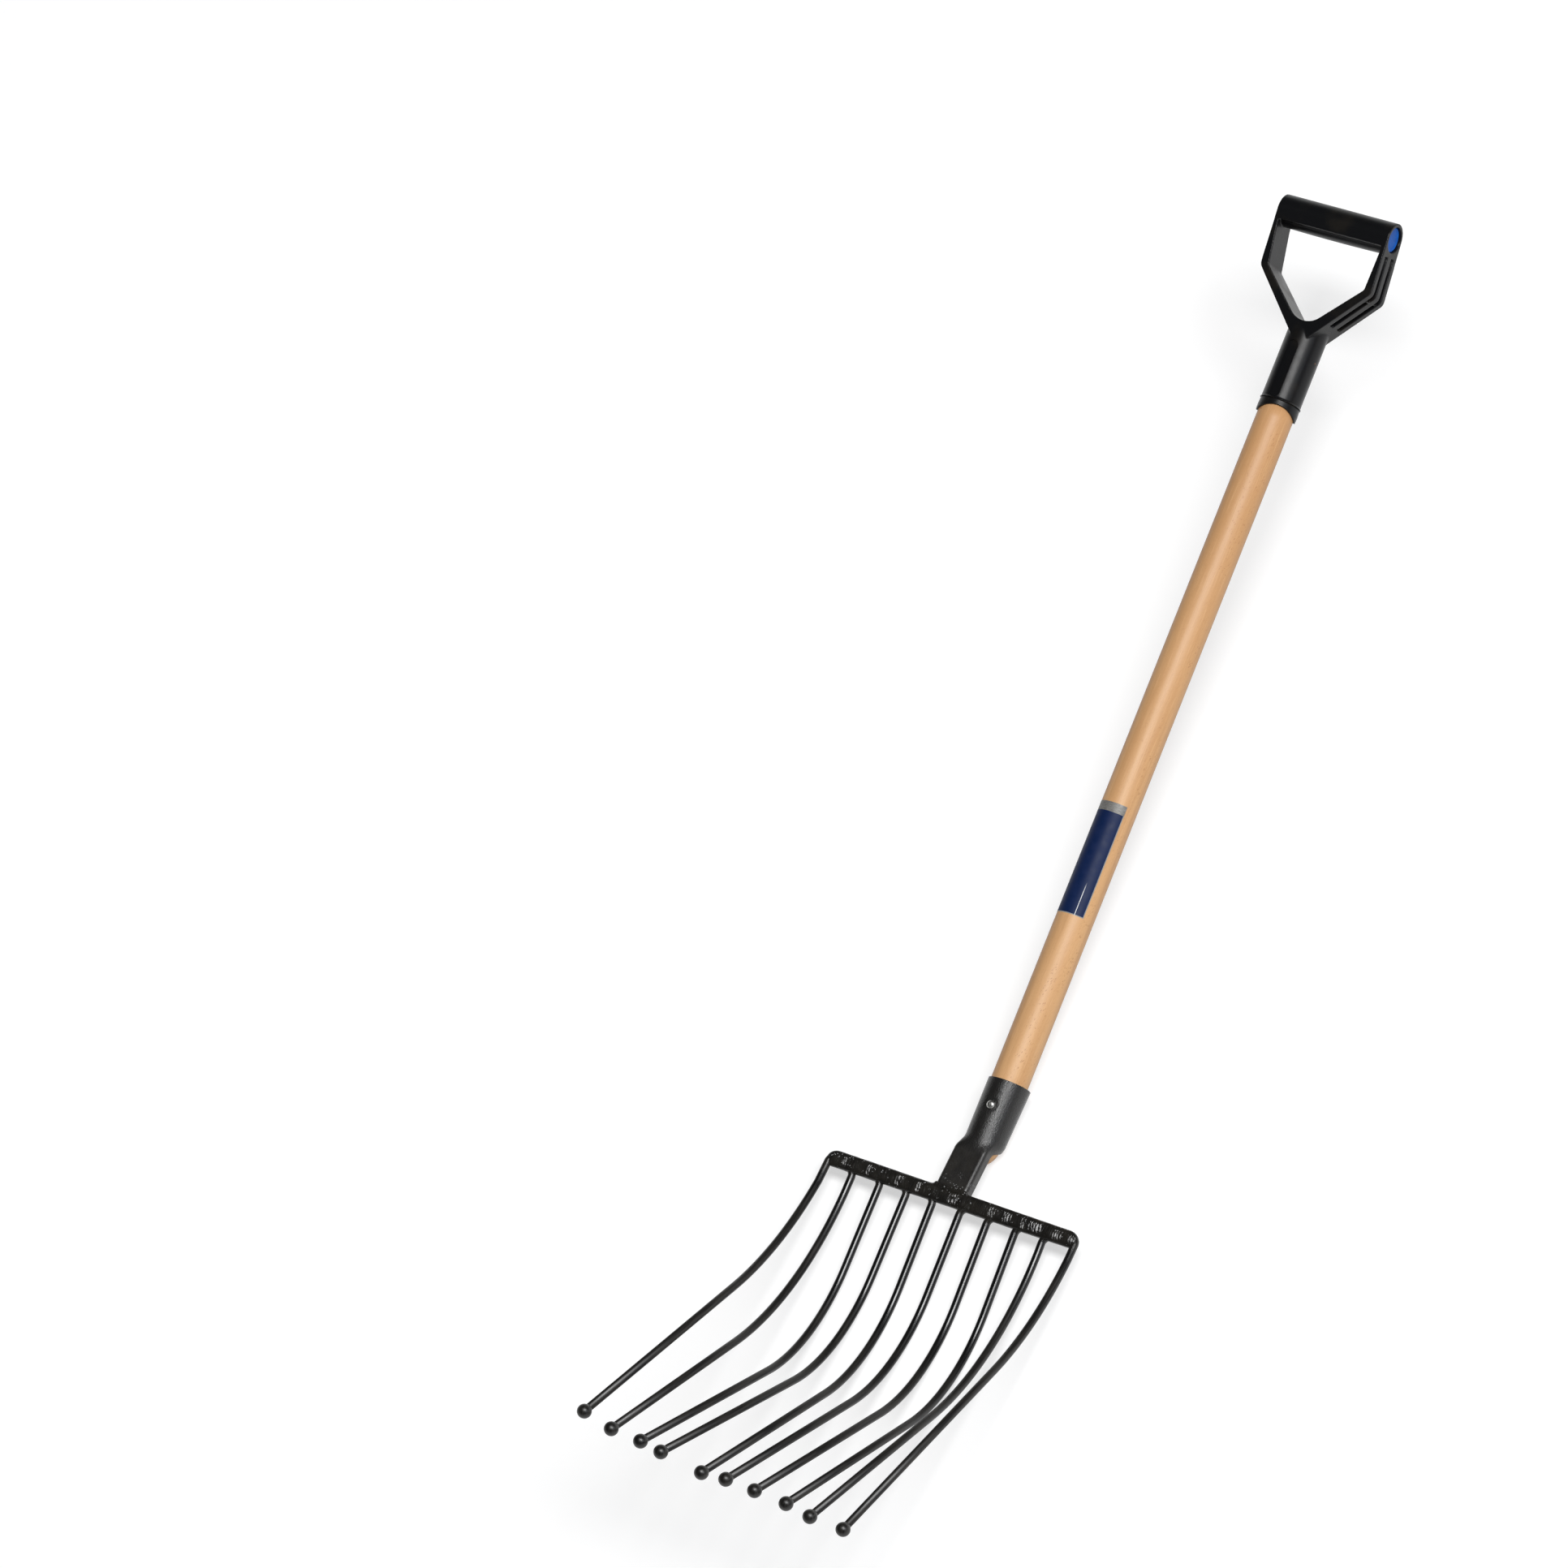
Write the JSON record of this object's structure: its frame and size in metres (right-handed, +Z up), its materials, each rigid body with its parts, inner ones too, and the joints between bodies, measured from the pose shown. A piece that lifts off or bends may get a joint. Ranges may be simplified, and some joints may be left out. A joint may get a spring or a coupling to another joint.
{
  "type": "potato fork",
  "caption": "Wide scooped potato fork with ball-ended round tines, welded crossbar, riveted sheet socket, wooden shaft and moulded D grip, lying front up.",
  "frame": {"origin": "on the ground, under the middle of the fork's bounding box", "axes": "+Y from the tips towards the grip, level; +Z up, out of the scooped front, the fork lying on its tines and socket as it would by its weight; +X across the tines"},
  "size_m": [0.3122, 1.4748, 0.251],
  "materials": {
    "black_steel": "gloss black paint over rod, sheet and weld beads",
    "beech": "turned beech under clear satin lacquer",
    "bright_zinc": "bright zinc-plated steel",
    "black_plastic": "satin moulded plastic",
    "blue_plastic": "satin moulded plastic"
  },
  "bodies": {
    "root": {"ball_1": "black_steel", "ball_10": "black_steel", "ball_2": "black_steel", "ball_3": "black_steel", "ball_4": "black_steel", "ball_5": "black_steel", "ball_6": "black_steel", "ball_7": "black_steel", "ball_8": "black_steel", "ball_9": "black_steel", "crossbar_weld": "black_steel", "grip": "black_plastic", "grip_cap_left": "blue_plastic", "grip_cap_right": "blue_plastic", "grip_collar": "black_plastic", "outer_tine_bow": "black_steel", "rivet_washer": "bright_zinc", "shaft": "beech", "socket": "black_steel", "socket_rivet": "bright_zinc", "tine_2": "black_steel", "tine_3": "black_steel", "tine_4": "black_steel", "tine_5": "black_steel", "tine_6": "black_steel", "tine_7": "black_steel", "tine_8": "black_steel", "tine_9": "black_steel"}
  },
  "joints": []
}
